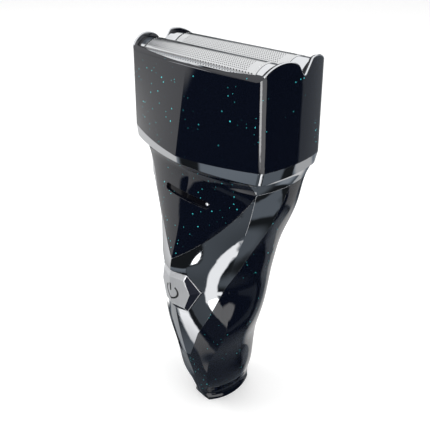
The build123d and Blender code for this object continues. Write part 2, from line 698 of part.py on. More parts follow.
blade_inset = foil_sheet + blade_gap
carrier_foot_z = carrier_top_z - carrier_height
carrier_half = foil_half_length - foil_end - stroke - lift_fit
blade_span = 2 * (carrier_half - carrier_end) - blade_thickness
blade_xs = [blade_span * (number / (blade_count - 1) - 0.5) - blade_thickness / 2
            for number in range(blade_count)]
bridge_top_z = bridge_z + bridge_thickness
post_xs = (-post_spacing / 2, post_spacing / 2)
post_height = carrier_foot_z - bridge_top_z + post_reach
post_bore = post_reach + foil_float + lift_fit
for side_name, y in zip(("front", "rear"), foil_ys):
    with BuildPart() as foil:
        with BuildSketch(Plane.YZ):
            add(arch(y, 0, foil_foot_z))
            add(arch(y, foil_sheet, foil_foot_z), mode=Mode.SUBTRACT)
        extrude(amount=foil_half_length, both=True)
    foil.part.label = f"{side_name}_foil"
    export_step(foil.part, f"parts/{side_name}_foil.step")

    with BuildPart() as foil_ends:
        with BuildSketch(Plane.YZ.offset(-foil_half_length), Plane.YZ.offset(foil_half_length - foil_end)):
            add(arch(y, foil_sheet, foil_foot_z))
        extrude(amount=foil_end)
    foil_ends.part.label = f"{side_name}_foil_ends"
    export_step(foil_ends.part, f"parts/{side_name}_foil_ends.step")

    with BuildPart() as cutter_carrier:
        with BuildSketch(Plane.XY.offset(carrier_foot_z)):
            with Locations((0, y)):
                RectangleRounded(2 * carrier_half, 2 * (foil_half_width - blade_inset), carrier_round)
        extrude(amount=carrier_height)
        with BuildSketch(Plane.XY.offset(carrier_foot_z)):
            with Locations(*[(x, y) for x in post_xs]):
                Circle(post_radius + post_fit)
        extrude(amount=post_bore, mode=Mode.SUBTRACT)
    cutter_carrier.part.label = f"{side_name}_cutter_carrier"
    export_step(cutter_carrier.part, f"parts/{side_name}_cutter_carrier.step")

    with BuildPart() as cutter_blades:
        with BuildSketch(*[Plane.YZ.offset(x) for x in blade_xs]):
            add(arch(y, blade_inset, carrier_top_z))
            add(arch(y, blade_inset + blade_width, carrier_top_z), mode=Mode.SUBTRACT)
        extrude(amount=blade_thickness)
    cutter_blades.part.label = f"{side_name}_cutter_blades"
    export_step(cutter_blades.part, f"parts/{side_name}_cutter_blades.step")

    with BuildPart() as cutter_spring:
        with BuildLine():
            coil_height = carrier_foot_z - bridge_top_z - spring_wire
            coil = Helix(pitch=coil_height / spring_turns, height=coil_height, radius=spring_radius,
                         center=(0, y, bridge_top_z + spring_wire / 2))
        with BuildSketch(Plane(origin=coil @ 0, z_dir=coil % 0)):
            RegularPolygon(spring_wire / 2, 6)
        sweep()
    cutter_spring.part.label = f"{side_name}_cutter_spring"
    export_step(cutter_spring.part, f"parts/{side_name}_cutter_spring.step")

# ---------------------------------------------------------------- drive
orbit_radius = pin_radius + 2 * stroke + fit
with BuildPart() as drive_bridge:
    with BuildSketch(Plane.XY.offset(bridge_z)):
        with Locations((0, foil_centre_y)):
            RectangleRounded(bridge_length, bridge_width, bridge_round)
        with Locations((0, drive_y)):
            Circle(orbit_radius, mode=Mode.SUBTRACT)
    extrude(amount=bridge_thickness)
    with BuildSketch(Plane.XY.offset(bridge_top_z)):
        with Locations(*[(x, y) for x in post_xs for y in foil_ys]):
            Circle(post_radius)
    extrude(amount=post_height)
drive_bridge.part.label = "drive_bridge"

with BuildPart() as leaf_springs:
    with BuildSketch(Plane.XY.offset(neck_z)):
        with Locations((-leaf_spacing / 2, foil_centre_y), (leaf_spacing / 2, foil_centre_y)):
            Rectangle(leaf_thickness, leaf_width)
    extrude(amount=bridge_z - fit - neck_z)
leaf_springs.part.label = "leaf_springs"

motor_top_z = motor_foot_z + motor_length
with BuildPart() as drive_motor:
    with BuildSketch(Plane.XY.offset(motor_foot_z)):
        with Locations((0, drive_y)):
            Circle(motor_radius)
    extrude(amount=motor_length)
    chamfer(drive_motor.edges().filter_by(GeomType.CIRCLE), motor_chamfer)
    with BuildSketch(Plane.XY.offset(motor_top_z)):
        with Locations((0, drive_y)):
            Circle(motor_boss_radius)
    extrude(amount=motor_boss_height)
    with BuildSketch(Plane.XY.offset(motor_foot_z + motor_length / 2)):
        with Locations((0, drive_y)):
            Circle(shaft_radius + shaft_fit)
    extrude(amount=far, mode=Mode.SUBTRACT)
drive_motor.part.label = "drive_motor"

eccentric_z = neck_z + seal_height + eccentric_rise
shaft_foot_z = motor_foot_z + motor_length / 2 + fit
with BuildPart() as motor_shaft:
    with BuildSketch(Plane.XY.offset(shaft_foot_z)):
        with Locations((0, drive_y)):
            Circle(shaft_radius)
    extrude(amount=eccentric_z + eccentric_height / 2 - shaft_foot_z)
motor_shaft.part.label = "motor_shaft"

with BuildPart() as eccentric:
    with BuildSketch(Plane.XY.offset(eccentric_z)):
        with Locations((0, drive_y)):
            Circle(eccentric_radius)
    extrude(amount=eccentric_height)
    with BuildSketch(Plane.XY.offset(eccentric_z + eccentric_height)):
        with Locations((0, drive_y + stroke)):
            Circle(pin_radius)
    extrude(amount=bridge_top_z - fit - eccentric_z - eccentric_height)
    with BuildSketch(Plane.XY.offset(eccentric_z)):
        with Locations((0, drive_y)):
            Circle(shaft_radius)
    extrude(amount=eccentric_height / 2, mode=Mode.SUBTRACT)
eccentric.part.label = "eccentric"

# ---------------------------------------------------------------- one file for each piece
for piece in (front_panel, slot_window, chrome_fascia, strap_yoke, rear_housing, base_cap, charging_socket,
              base_screws, inner_chassis, cell, cell_contacts, circuit_board, indicator_lamp, push_switch,
              power_button, switch_plunger, top_deck, deck_screws, shaft_seal, neck_ring, collar_band,
              head_shell, foil_frame, drive_bridge, leaf_springs, drive_motor, motor_shaft, eccentric):
    export_step(piece.part, f"parts/{piece.part.label}.step")
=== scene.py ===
import json
import math

import bmesh
import bpy
import numpy as np
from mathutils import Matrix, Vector
from mathutils.bvhtree import BVHTree


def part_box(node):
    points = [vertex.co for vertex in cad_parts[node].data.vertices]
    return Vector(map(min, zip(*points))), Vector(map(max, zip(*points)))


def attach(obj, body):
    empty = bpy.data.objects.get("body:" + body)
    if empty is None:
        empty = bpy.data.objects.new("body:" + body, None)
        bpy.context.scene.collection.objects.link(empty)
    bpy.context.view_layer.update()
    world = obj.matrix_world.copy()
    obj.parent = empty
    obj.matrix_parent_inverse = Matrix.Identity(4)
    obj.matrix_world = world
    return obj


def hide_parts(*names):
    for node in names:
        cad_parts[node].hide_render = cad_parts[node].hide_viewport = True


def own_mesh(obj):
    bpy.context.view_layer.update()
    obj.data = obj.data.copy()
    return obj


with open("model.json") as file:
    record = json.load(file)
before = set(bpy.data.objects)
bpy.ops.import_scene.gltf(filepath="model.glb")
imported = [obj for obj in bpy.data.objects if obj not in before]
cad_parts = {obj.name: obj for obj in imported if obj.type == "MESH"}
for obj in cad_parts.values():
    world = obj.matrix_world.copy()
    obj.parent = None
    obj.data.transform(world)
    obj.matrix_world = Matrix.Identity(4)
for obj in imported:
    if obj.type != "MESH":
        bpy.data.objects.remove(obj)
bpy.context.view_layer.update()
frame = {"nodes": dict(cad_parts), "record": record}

# ---------------------------------------------------------------- room
# A plain pale studio: a white floor, white all round above table height, and a dark surround below
# it with bright windows, which only polished pieces show. Two soft lamps give the shading.
scene = bpy.context.scene
scene.view_settings.view_transform = "Standard"


def new_material(name, colour, roughness, metallic=0.0):
    """A material with nodes: returns it, its tree and its main shader."""
    material = bpy.data.materials.new(name)
    material.use_nodes = True
    tree = material.node_tree
    shader = tree.nodes["Principled BSDF"]
    shader.inputs["Base Color"].default_value = (*colour, 1)
    shader.inputs["Roughness"].default_value = roughness
    shader.inputs["Metallic"].default_value = metallic
    return material, tree, shader


def maths(tree, operation, a, b=0.0):
    """One Math node; a and b are sockets or numbers. Returns its result."""
    node = tree.nodes.new("ShaderNodeMath")
    node.operation = operation
    for socket, value in zip(node.inputs, (a, b)):
        if isinstance(value, (int, float)):
            socket.default_value = value
        else:
            tree.links.new(value, socket)
    return node.outputs[0]


def ramp(tree, value, low, high):
    """0 below low and 1 above high, smooth between; low above high turns it round."""
    node = tree.nodes.new("ShaderNodeMapRange")
    node.interpolation_type = "SMOOTHSTEP"
    node.inputs["From Min"].default_value = low
    node.inputs["From Max"].default_value = high
    tree.links.new(value, node.inputs["Value"])
    return node.outputs["Result"]


def scaled(tree, value, factor, offset):
    """A value times a factor, plus an offset."""
    return maths(tree, "ADD", maths(tree, "MULTIPLY", value, factor), offset)


def rest_of(tree, share):
    """What a share leaves of 1."""
    return maths(tree, "SUBTRACT", 1.0, share)


world = bpy.data.worlds.new("studio")
scene.world = world
world.use_nodes = True
room = world.node_tree
direction = room.nodes.new("ShaderNodeTexCoord").outputs["Generated"]
split = room.nodes.new("ShaderNodeSeparateXYZ")
room.links.new(direction, split.inputs[0])
x, y, z = split.outputs
in_degrees = 180 / math.pi
from_front = maths(room, "ARCTAN2", x, maths(room, "MULTIPLY", y, -1.0))
azimuth = maths(room, "MULTIPLY", from_front, in_degrees)
elevation = maths(room, "MULTIPLY", maths(room, "ARCSINE", z), in_degrees)


def panel_of_light(left, right, low, high, soft):
    """1 inside a panel and 0 outside it, in degrees: its sides by azimuth, its foot and head by
    elevation, and half the width of its soft edges."""
    across = maths(room, "MULTIPLY", ramp(room, azimuth, left - soft, left + soft),
                   ramp(room, azimuth, right + soft, right - soft))
    upright = maths(room, "MULTIPLY", ramp(room, elevation, low - soft, low + soft),
                    ramp(room, elevation, high + soft, high - soft))
    return maths(room, "MULTIPLY", across, upright)


# Azimuth 0 is straight in front of the shaver, 90 to its right. Each row is one window: its sides,
# its foot and head, the softness of its edges, and its strength at the foot and at the head.
windows = [
    (-108, -46, -57, 8, 2.0, 0.30, 0.90),
    (8, 33, -20, 3, 2.0, 8.0, 8.0),
    (33, 84, -22, 3, 2.5, 1.9, 1.9),
    (40, 61, -38, -20, 1.5, 1.9, 1.9),
    (38, 62, -60, -37, 2.0, 1.0, 1.0),
    (60, 71, -47, -40, 1.5, 1.0, 1.0),
    (-30, -8, -64, -48, 2.5, 0.45, 1.1),
    (-32, 3, -36, -26, 1.5, 0.13, 0.18),
    (3, 38, -60, -23, 2.0, 0.06, 0.08),
    (88, 140, -45, -36, 2.0, 0.12, 0.12),
    (142, 186, -31, 5, 1.5, 0.28, 0.28),
    (-186, -130, -31, 5, 2.0, 0.34, 0.34),
    (153, 186, -38, -31, 1.0, 0.42, 0.42),
    (156, 186, -52, -40, 4.0, 0.25, 0.25),
    (-124, -112, -42, 5, 3.0, 2.5, 2.5),
    (-186, -128, -54, -34, 4.0, 0.60, 0.60),
]

# Over the horizon the room turns white, and straight under the shaver it is faintly lit.
horizon_from, horizon_to = 9.0, 25.0
ground_from, ground_to = -50, -60
ground_light, least_light = 0.085, 0.012
glow = maths(room, "MAXIMUM", ramp(room, elevation, horizon_from, horizon_to),
             scaled(room, ramp(room, elevation, ground_from, ground_to), ground_light, least_light))
for left, right, low, high, soft, foot, head in windows:
    strength = scaled(room, ramp(room, elevation, low, high), head - foot, foot)
    bright = maths(room, "MULTIPLY", panel_of_light(left, right, low, high, soft), strength)
    glow = maths(room, "MAXIMUM", glow, bright)

# A dark card stands to the left, and over it hangs a dark screen with an arched top: the crests and
# the left ends of the foils show them. The arch falls with the square of the way from its middle.
dark_card = (-134, -106, 0, 20, 3.0)
dark_screen = (-134, -88, 9, 60, 3.0)
arch_azimuth, arch_top, arch_fall, arch_soft = -90.0, 39.0, 0.0131, 1.5
card_dark = 0.92
aside = maths(room, "SUBTRACT", azimuth, arch_azimuth)
arch = scaled(room, maths(room, "MULTIPLY", aside, aside), -arch_fall, arch_top)
under_arch = ramp(room, maths(room, "SUBTRACT", elevation, arch), arch_soft, -arch_soft)
screen = maths(room, "MULTIPLY", panel_of_light(*dark_screen), under_arch)
cards = maths(room, "MAXIMUM", panel_of_light(*dark_card), screen)
glow = maths(room, "MULTIPLY", glow, rest_of(room, maths(room, "MULTIPLY", cards, card_dark)))

# The camera sees plain white, a polished piece sees the room's glow, and matt pieces are lit
# evenly. Where the glow is dim it is a little blue.
plain_light = 0.75
cool_tint = (0.84, 0.96, 1.10)
dim_from, dim_to = 0.45, 0.15
paths = room.nodes.new("ShaderNodeLightPath")
by_camera, by_gloss = paths.outputs["Is Camera Ray"], paths.outputs["Is Glossy Ray"]
plain = maths(room, "ADD", maths(room, "MULTIPLY", rest_of(room, by_camera), plain_light), by_camera)
light = maths(room, "ADD", maths(room, "MULTIPLY", glow, by_gloss),
              maths(room, "MULTIPLY", plain, rest_of(room, by_gloss)))
cool = room.nodes.new("ShaderNodeMix")
cool.data_type = "RGBA"
cool.inputs["A"].default_value = (1, 1, 1, 1)
cool.inputs["B"].default_value = (*cool_tint, 1)
dim = ramp(room, glow, dim_from, dim_to)
room.links.new(maths(room, "MULTIPLY", dim, by_gloss), cool.inputs["Factor"])
room.links.new(light, room.nodes["Background"].inputs["Strength"])
room.links.new(cool.outputs["Result"], room.nodes["Background"].inputs["Color"])

floor_reach = 6.0
floor_glow = 0.16
floor_corners = [(-1, -1), (1, -1), (1, 1), (-1, 1)]
floor_mesh = bpy.data.meshes.new("floor")
floor_mesh.from_pydata([(a * floor_reach, b * floor_reach, 0) for a, b in floor_corners],
                       [], [(0, 1, 2, 3)])
floor = bpy.data.objects.new("floor", floor_mesh)
scene.collection.objects.link(floor)
floor_white, tree, shader = new_material("floor_white", (0.96, 0.96, 0.96), 0.7)
shader.inputs["Emission Color"].default_value = (1, 1, 1, 1)
to_camera = tree.nodes.new("ShaderNodeLightPath").outputs["Is Camera Ray"]
tree.links.new(maths(tree, "MULTIPLY", to_camera, floor_glow), shader.inputs["Emission Strength"])
floor_mesh.materials.append(floor_white)
floor.visible_glossy = False

shaver_middle = Vector((0, 0, 0.08))


def lamp(name, place, width, power):
    """A square soft lamp that shines at the shaver's middle and shows in no reflection."""
    data = bpy.data.lights.new(name, "AREA")
    data.size = width
    data.energy = power
    light = bpy.data.objects.new(name, data)
    scene.collection.objects.link(light)
    light.location = place
    light.rotation_mode = "QUATERNION"
    light.rotation_quaternion = (shaver_middle - Vector(place)).to_track_quat("-Z", "Y")
    light.visible_glossy = False
    light.visible_camera = False


lamp("left_lamp", (-0.7, -0.6, 0.9), 0.7, 5.0)
lamp("top_lamp", (0.3, 0.1, 1.2), 0.9, 5.0)

camera_place = (0.11584, -0.11511, 0.18252)
camera_direction = Vector((-0.6255, 0.5992, -0.4997))
camera_data = bpy.data.cameras.new("camera")
camera_data.sensor_width = 36
camera_data.lens = 41.86
camera = bpy.data.objects.new("camera", camera_data)
scene.collection.objects.link(camera)
camera.location = camera_place
camera.rotation_mode = "QUATERNION"
camera.rotation_quaternion = camera_direction.to_track_quat("-Z", "Y")
scene.camera = camera

# ---------------------------------------------------------------- navy covers
# Head shell, front panel, strap and rear housing: moulded in dark blue plastic, with sparse
# blue-green glitter under a clear lacquer. A small round breaks their edges, as from the mould.
bodies = frame["record"]["behaviour"]["bodies"]
body_of = {node: body for body, nodes in bodies.items() for node in nodes}
sharp_angle = math.radians(28)
flat_angle = math.radians(0.02)
merge_distance = 2e-6
near_distance = 2e-5
corner_step = 1e-5


def skin_of(mesh):
    """A search tree over a mesh's triangles, with their corner points, their corner normals and
    their own normals."""
    mesh.calc_loop_triangles()
    count = len(mesh.loop_triangles)
    loops, own = np.empty(3 * count, np.int32), np.empty(3 * count, np.float32)
    mesh.loop_triangles.foreach_get("loops", loops)
    mesh.loop_triangles.foreach_get("normal", own)
    ends = np.empty(len(mesh.loops), np.int32)
    places = np.empty(3 * len(mesh.vertices), np.float32)
    leans = np.empty(3 * len(mesh.loops), np.float32)
    mesh.loops.foreach_get("vertex_index", ends)
    mesh.vertices.foreach_get("co", places)
    mesh.corner_normals.foreach_get("vector", leans)
    corners = places.reshape(-1, 3)[ends[loops]].reshape(-1, 3, 3).astype(float)
    corner_leans = leans.reshape(-1, 3)[loops].reshape(-1, 3, 3).astype(float)
    tree = BVHTree.FromPolygons(corners.reshape(-1, 3).tolist(),
                                np.arange(3 * count).reshape(-1, 3).tolist())
    return tree, corners, corner_leans, own.reshape(-1, 3)


def lean_at(skin, place, facing):
    """The normal at a place of a skin, on the triangle there that faces most like a direction: the
    mean of its corner normals, each weighed by the place's share of that corner."""
    tree, corners, leans, own = skin
    near = [hit[2] for hit in tree.find_nearest_range(place, near_distance)]
    near = near or [tree.find_nearest(place)[2]]
    best = max(near, key=lambda number: own[number] @ facing)
    first, second, third = corners[best]
    across, up, out = second - first, third - first, np.array(place) - first
    grid = np.array([[across @ across, across @ up], [across @ up, up @ up]])
    spread = grid[0, 0] * grid[1, 1] - grid[0, 1] ** 2
    if spread <= 0:
        return own[best]
    share = np.array([grid[1, 1] * (out @ across) - grid[0, 1] * (out @ up),
                      grid[0, 0] * (out @ up) - grid[0, 1] * (out @ across)]) / spread
    weights = np.clip([1 - share.sum(), *share], 0, 1)
    lean = weights @ leans[best]
    return lean / (np.linalg.norm(lean) or 1)


def rounded(node, width, steps, materials, chooser=None):
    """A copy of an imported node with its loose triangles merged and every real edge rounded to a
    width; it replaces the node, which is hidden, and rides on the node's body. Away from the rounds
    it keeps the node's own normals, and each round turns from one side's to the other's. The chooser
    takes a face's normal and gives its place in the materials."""
    source = frame["nodes"][node].data
    skin = skin_of(source)
    form = bmesh.new()
    form.from_mesh(source)
    bmesh.ops.remove_doubles(form, verts=form.verts, dist=merge_distance)
    bmesh.ops.dissolve_limit(form, angle_limit=flat_angle, verts=form.verts, edges=form.edges)
    for face in form.faces:
        face.smooth = True
        face.material_index = chooser(face.normal) if chooser else 0
    edges = [edge for edge in form.edges
             if edge.is_manifold and edge.is_convex and edge.calc_face_angle(0.0) > sharp_angle]
    bevelled = bmesh.ops.bevel(form, geom=edges, offset=width, offset_type="OFFSET", profile=0.5,
                               segments=steps, affect="EDGES", clamp_overlap=True)
    rounds = set(bevelled["faces"])
    form.normal_update()
    kept = {}
    for face in form.faces:
        if face not in rounds:
            middle, facing = face.calc_center_median(), np.array(face.normal)
            for corner in face.loops:
                inward = (middle - corner.vert.co).normalized()
                place = corner.vert.co + corner_step * inward
                kept.setdefault(corner.vert, {})[face] = lean_at(skin, place, facing)
    leans = []
    for face in form.faces:
        for corner in face.loops:
            sides = kept.get(corner.vert, {})
            if face in sides:
                leans.append(sides[face])
            elif sides:
                leans.append(Vector(np.sum(list(sides.values()), 0)).normalized())
            else:
                leans.append(corner.vert.normal)
    mesh = bpy.data.meshes.new(node + "_cover")
    form.to_mesh(mesh)
    form.free()
    for material in materials:
        mesh.materials.append(material)
    mesh.normals_split_custom_set([tuple(lean) for lean in leans])
    piece = bpy.data.objects.new(node + "_cover", mesh)
    scene.collection.objects.link(piece)
    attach(piece, body_of[node])
    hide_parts(node)
    return piece


def object_point(tree):
    """The place on the object, in metres."""
    return tree.nodes.new("ShaderNodeTexCoord").outputs["Object"]


def bump(tree, shader, height, distance, strength=1.0):
    """Bumps a shader by a height socket, distance metres deep."""
    node = tree.nodes.new("ShaderNodeBump")
    node.inputs["Distance"].default_value = distance
    node.inputs["Strength"].default_value = strength
    tree.links.new(height, node.inputs["Height"])
    tree.links.new(node.outputs["Normal"], shader.inputs["Normal"])


def noise(tree, point, scale, detail=2.0):
    """A soft noise between 0 and 1, with scale features in a metre."""
    node = tree.nodes.new("ShaderNodeTexNoise")
    node.inputs["Scale"].default_value = scale
    node.inputs["Detail"].default_value = detail
    tree.links.new(point, node.inputs["Vector"])
    return node.outputs["Fac"]


def blended(tree, share, first, second):
    """A colour between two colours, by a share socket."""
    node = tree.nodes.new("ShaderNodeMix")
    node.data_type = "RGBA"
    node.inputs["A"].default_value = (*first, 1)
    node.inputs["B"].default_value = (*second, 1)
    tree.links.new(share, node.inputs["Factor"])
    return node.outputs["Result"]


# The flakes are round, one in some cells of a fine Voronoi pattern, and they gather in clusters.
navy_base = (0.0026, 0.0040, 0.0095)
flake_colour = (0.08, 0.80, 0.86)
flake_cell = 0.0014
flake_least, flake_spread = 0.10, 0.08
rare_from, rare_to = 0.58, 0.82
cluster_scale, cluster_from, cluster_to = 70.0, 0.46, 0.62
polish_scale, polish_least, polish_spread = 60.0, 0.03, 0.03
ripple_scale, ripple_depth = 900.0, 2e-7
lacquer_share, lacquer_roughness = 0.35, 0.02
navy, tree, shader = new_material("navy_gloss", navy_base, 0.05)
point = object_point(tree)
cells = tree.nodes.new("ShaderNodeTexVoronoi")
cells.inputs["Scale"].default_value = 1 / flake_cell
tree.links.new(point, cells.inputs["Vector"])
draw = tree.nodes.new("ShaderNodeSeparateColor")
tree.links.new(cells.outputs["Color"], draw.inputs["Color"])
cluster = ramp(tree, noise(tree, point, cluster_scale), cluster_from, cluster_to)
rare = ramp(tree, draw.outputs["Red"], rare_from, rare_to)
radius = scaled(tree, draw.outputs["Green"], flake_spread, flake_least)
flake = maths(tree, "LESS_THAN", maths(tree, "SUBTRACT", cells.outputs["Distance"], radius), 0.0)
flake = maths(tree, "MULTIPLY", flake, maths(tree, "MULTIPLY", rare, cluster))
tree.links.new(blended(tree, flake, navy_base, flake_colour), shader.inputs["Base Color"])
polish = noise(tree, point, polish_scale)
tree.links.new(scaled(tree, polish, polish_spread, polish_least), shader.inputs["Roughness"])
bump(tree, shader, noise(tree, point, ripple_scale, 1.0), ripple_depth)
shader.inputs["Coat Weight"].default_value = lacquer_share
shader.inputs["Coat Roughness"].default_value = lacquer_roughness
navy_round = 0.00025
for name in ("head_shell", "front_panel", "strap_yoke", "rear_housing"):
    rounded(name, navy_round, 2, [navy])

# ---------------------------------------------------------------- chrome pieces
# Fascia between panel and strap, neck ring and band under the head: plastic plated with bright
# chrome, polished, with the slight waviness that plating has.
chrome_colour = (0.77, 0.785, 0.81)
plating_scale, plating_least, plating_spread = 120.0, 0.02, 0.05
wave_scale, wave_depth = 160.0, 2e-7
chrome_round = 0.0002
chrome, tree, shader = new_material("chrome_plate", chrome_colour, 0.04, 1.0)
point = object_point(tree)
plating = noise(tree, point, plating_scale, 4.0)
tree.links.new(scaled(tree, plating, plating_spread, plating_least), shader.inputs["Roughness"])
bump(tree, shader, noise(tree, point, wave_scale, 1.0), wave_depth)
for name in ("chrome_fascia", "collar_band", "neck_ring"):
    rounded(name, chrome_round, 2, [chrome])

# ---------------------------------------------------------------- foil frame and cheek beads
# The frame that carries both foils is plated too; its edge stands above the shell's lip. A thin
# bright bead runs along the top of each cheek, pressed into a groove of the shell.
frame_round = 0.0003
rounded("foil_frame", frame_round, 3, [chrome])


def add_piece(name, points, faces, materials, body):
    """A smooth new piece from an array of points and a list of faces, riding on a body."""
    mesh = bpy.data.meshes.new(name)
    mesh.from_pydata(points.reshape(-1, 3), [], faces)
    mesh.polygons.foreach_set("use_smooth", np.ones(len(mesh.polygons), bool))
    for material in materials:
        mesh.materials.append(material)
    piece = bpy.data.objects.new(name, mesh)
    scene.collection.objects.link(piece)
    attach(piece, body)
    return piece


def grid_faces(rows, columns, around):
    """Quads of a grid of rows by columns of points, closed round the columns where around is set."""
    spans = columns if around else columns - 1
    row, column = np.meshgrid(np.arange(rows - 1), np.arange(spans), indexing="ij")
    after = (column + 1) % columns
    return np.stack([row * columns + column, row * columns + after,
                     (row + 1) * columns + after, (row + 1) * columns + column], -1).reshape(-1, 4)


def wire(name, path, radius, across, sides, materials, body):
    """A round wire along a path: each point is the centre of a circle, drawn with the cosine and
    sine of the turn on two unit vectors square to the path. The first is the vector across, less
    its share along the path, and the second is square to both."""
    along = np.gradient(path, axis=0)
    along /= np.linalg.norm(along, axis=1, keepdims=True)
    first = across - (along @ across)[:, None] * along
    first /= np.linalg.norm(first, axis=1, keepdims=True)
    second = np.cross(along, first)
    turn = np.linspace(0, 2 * math.pi, sides, endpoint=False)
    ring = (np.cos(turn)[None, :, None] * first[:, None]
            + np.sin(turn)[None, :, None] * second[:, None])
    points = path[:, None] + radius * ring
    count = len(path)
    caps = [list(range(sides))[::-1], list(range((count - 1) * sides, count * sides))]
    faces = grid_faces(count, sides, True).tolist() + caps
    return add_piece(name, points, faces, materials, body)


shell = frame["nodes"]["head_shell"].data
shell_triangles = np.empty(3 * len(shell.loop_triangles), np.int32)
shell.loop_triangles.foreach_get("vertices", shell_triangles)
shell_points = np.empty(3 * len(shell.vertices), np.float32)
shell.vertices.foreach_get("co", shell_points)
shell_tree = BVHTree.FromPolygons(shell_points.reshape(-1, 3).tolist(),
                                  shell_triangles.reshape(-1, 3).tolist())
shell_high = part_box("head_shell")[1]
front_low, front_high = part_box("front_foil")
rear_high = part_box("rear_foil")[1]
probe_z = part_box("foil_frame")[1][2] - 0.004
clear_of_shell = 0.01
bead_radius = 0.00034
bead_inset = 0.00050
bead_sides = 10
bead_points = 120
bead_front_overrun, bead_rear_overrun = 0.0012, 0.0002


def cheek_top(y):
    """The place on top of the right cheek at a depth y: a ray from outside meets the shell's side,
    and one from above meets its top, the bead's inset further in."""
    outside = Vector((shell_high[0] + clear_of_shell, y, probe_z))
    side = shell_tree.ray_cast(outside, Vector((-1, 0, 0)))[0]
    above = Vector((side.x - bead_inset, y, shell_high[2] + clear_of_shell))
    return list(shell_tree.ray_cast(above, Vector((0, 0, -1)))[0])


def evened(path, count):
    """The path with count points at equal distances along it, each but the first and last then moved
    to a quarter of each neighbour and half of itself."""
    reach = np.concatenate([[0], np.cumsum(np.linalg.norm(np.diff(path, axis=0), axis=1))])
    even = np.linspace(0, reach[-1], count)
    path = np.stack([np.interp(even, reach, path[:, axis]) for axis in range(3)], -1)
    path[1:-1] = (path[:-2] + 2 * path[1:-1] + path[2:]) / 4
    return path


cheek_depths = np.linspace(front_low[1] - bead_front_overrun, rear_high[1] + bead_rear_overrun,
                           2 * bead_points)
cheek_path = evened(np.array([cheek_top(y) for y in cheek_depths]), bead_points)
for side_name, side in (("right", 1), ("left", -1)):
    wire(side_name + "_cheek_bead", cheek_path * (side, 1, 1), bead_radius, np.array((1.0, 0, 0)),
         bead_sides, [chrome], "head")

# ---------------------------------------------------------------- foils
# Two thin steel sheets, bent to a shallow arch, etched with fine holes except at their ends, and
# fixed to their end caps by a row of tiny spot welds. They give way downwards, each on its own.
arch_radius = 0.0080
sheet_thickness = 0.0003
foil_half_width = (front_high[1] - front_low[1]) / 2
foil_length = front_high[0] - front_low[0]
foil_bend = math.asin(foil_half_width / arch_radius)


def foil_outline(inset, count):
    """The section of a foil's sheet, drawn in by an inset: an arc of the arch's radius less the
    inset, from bend to bend, with a straight skirt down from each end. Gives the points, as a way
    across and a height, and their reach, which is the way from the crest along the sheet."""
    radius = arch_radius - inset
    bend = math.asin((foil_half_width - inset) / radius)
    turn = np.linspace(-bend, bend, count)
    arch_centre_z = front_high[2] - arch_radius
    crown = np.stack([radius * np.sin(turn), arch_centre_z + radius * np.cos(turn)], -1)
    skirt = crown[0, 1] - front_low[2]
    outline = np.concatenate([[(crown[0, 0], front_low[2])], crown, [(crown[-1, 0], front_low[2])]])
    reach = np.concatenate([[-bend * radius - skirt], turn * radius, [bend * radius + skirt]])
    return outline, reach


def unwrap(piece, first, second):
    """Gives a piece texture coordinates from two values at each point."""
    mesh = piece.data
    corner_points = np.empty(len(mesh.loops), np.int32)
    mesh.loops.foreach_get("vertex_index", corner_points)
    layer = mesh.uv_layers.new(name="sheet")
    corner_values = np.stack([first, second], -1)[corner_points]
    layer.data.foreach_set("uv", corner_values.astype(np.float32).ravel())


def off_point(tree, value, pitch, shift=0.0):
    """The way from a value to the nearest point of a row, moved by a share of its pitch."""
    moved = maths(tree, "ADD", value, pitch * shift) if shift else value
    return maths(tree, "SUBTRACT", maths(tree, "FLOORED_MODULO", moved, pitch), pitch / 2)


def distance(tree, first, second):
    """The length of a way made of two parts at a right angle."""
    return maths(tree, "SQRT", maths(tree, "ADD", maths(tree, "POWER", first, 2.0),
                                     maths(tree, "POWER", second, 2.0)))


# The etched pattern, in millimetres along and across the flat sheet: two rectangular patterns of
# holes, one set between the other, up to the blank ends, and a row of larger holes by each skirt.
# The holes are painted dark, as painted shade for the dark seen through them.
steel_colour = (0.74, 0.75, 0.76)
hole_shade_colour = (0.10, 0.10, 0.105)
hole_pitch = 0.78
hole_radius = 0.17
hole_soft = 0.05
hole_depth = 6e-5
blank_end = 3.6
blank_edge = 0.5
edge_pitch = 1.15
edge_hole_radius = 0.24
edge_row_drop = 0.15
edge_blank_end = 1.0
rolled_scale, rolled_least, rolled_spread = 400.0, 0.10, 0.08
weld_colour = (0.86, 0.87, 0.88)
metres_to_sheet, sheet_to_mm = 100, 10.0
half_length_mm = 500 * foil_length
bend_mm = 1000 * foil_bend * arch_radius
foil_steel, tree, shader = new_material("foil_steel", steel_colour, 0.14, 1.0)
sheet_place = tree.nodes.new("ShaderNodeSeparateXYZ")
tree.links.new(tree.nodes.new("ShaderNodeTexCoord").outputs["UV"], sheet_place.inputs[0])
along, across = [maths(tree, "MULTIPLY", socket, sheet_to_mm) for socket in sheet_place.outputs[:2]]
row_pitch = hole_pitch * math.sqrt(3)
apart = maths(tree, "MINIMUM", *[distance(tree, off_point(tree, along, hole_pitch, shift),
                                          off_point(tree, across, row_pitch, shift))
                                 for shift in (0.0, 0.5)])
holes = ramp(tree, apart, hole_radius + hole_soft, hole_radius - hole_soft)
from_middle = maths(tree, "ABSOLUTE", along)
from_crest = maths(tree, "ABSOLUTE", across)
inside_ends = maths(tree, "LESS_THAN", from_middle, half_length_mm - blank_end)
inside_edges = maths(tree, "LESS_THAN", from_crest, bend_mm - blank_edge)
holes = maths(tree, "MULTIPLY", holes, maths(tree, "MULTIPLY", inside_ends, inside_edges))
edge_across = maths(tree, "SUBTRACT", from_crest, bend_mm + edge_row_drop)
edge_apart = distance(tree, edge_across, off_point(tree, along, edge_pitch))
edge_holes = ramp(tree, edge_apart, edge_hole_radius + hole_soft, edge_hole_radius - hole_soft)
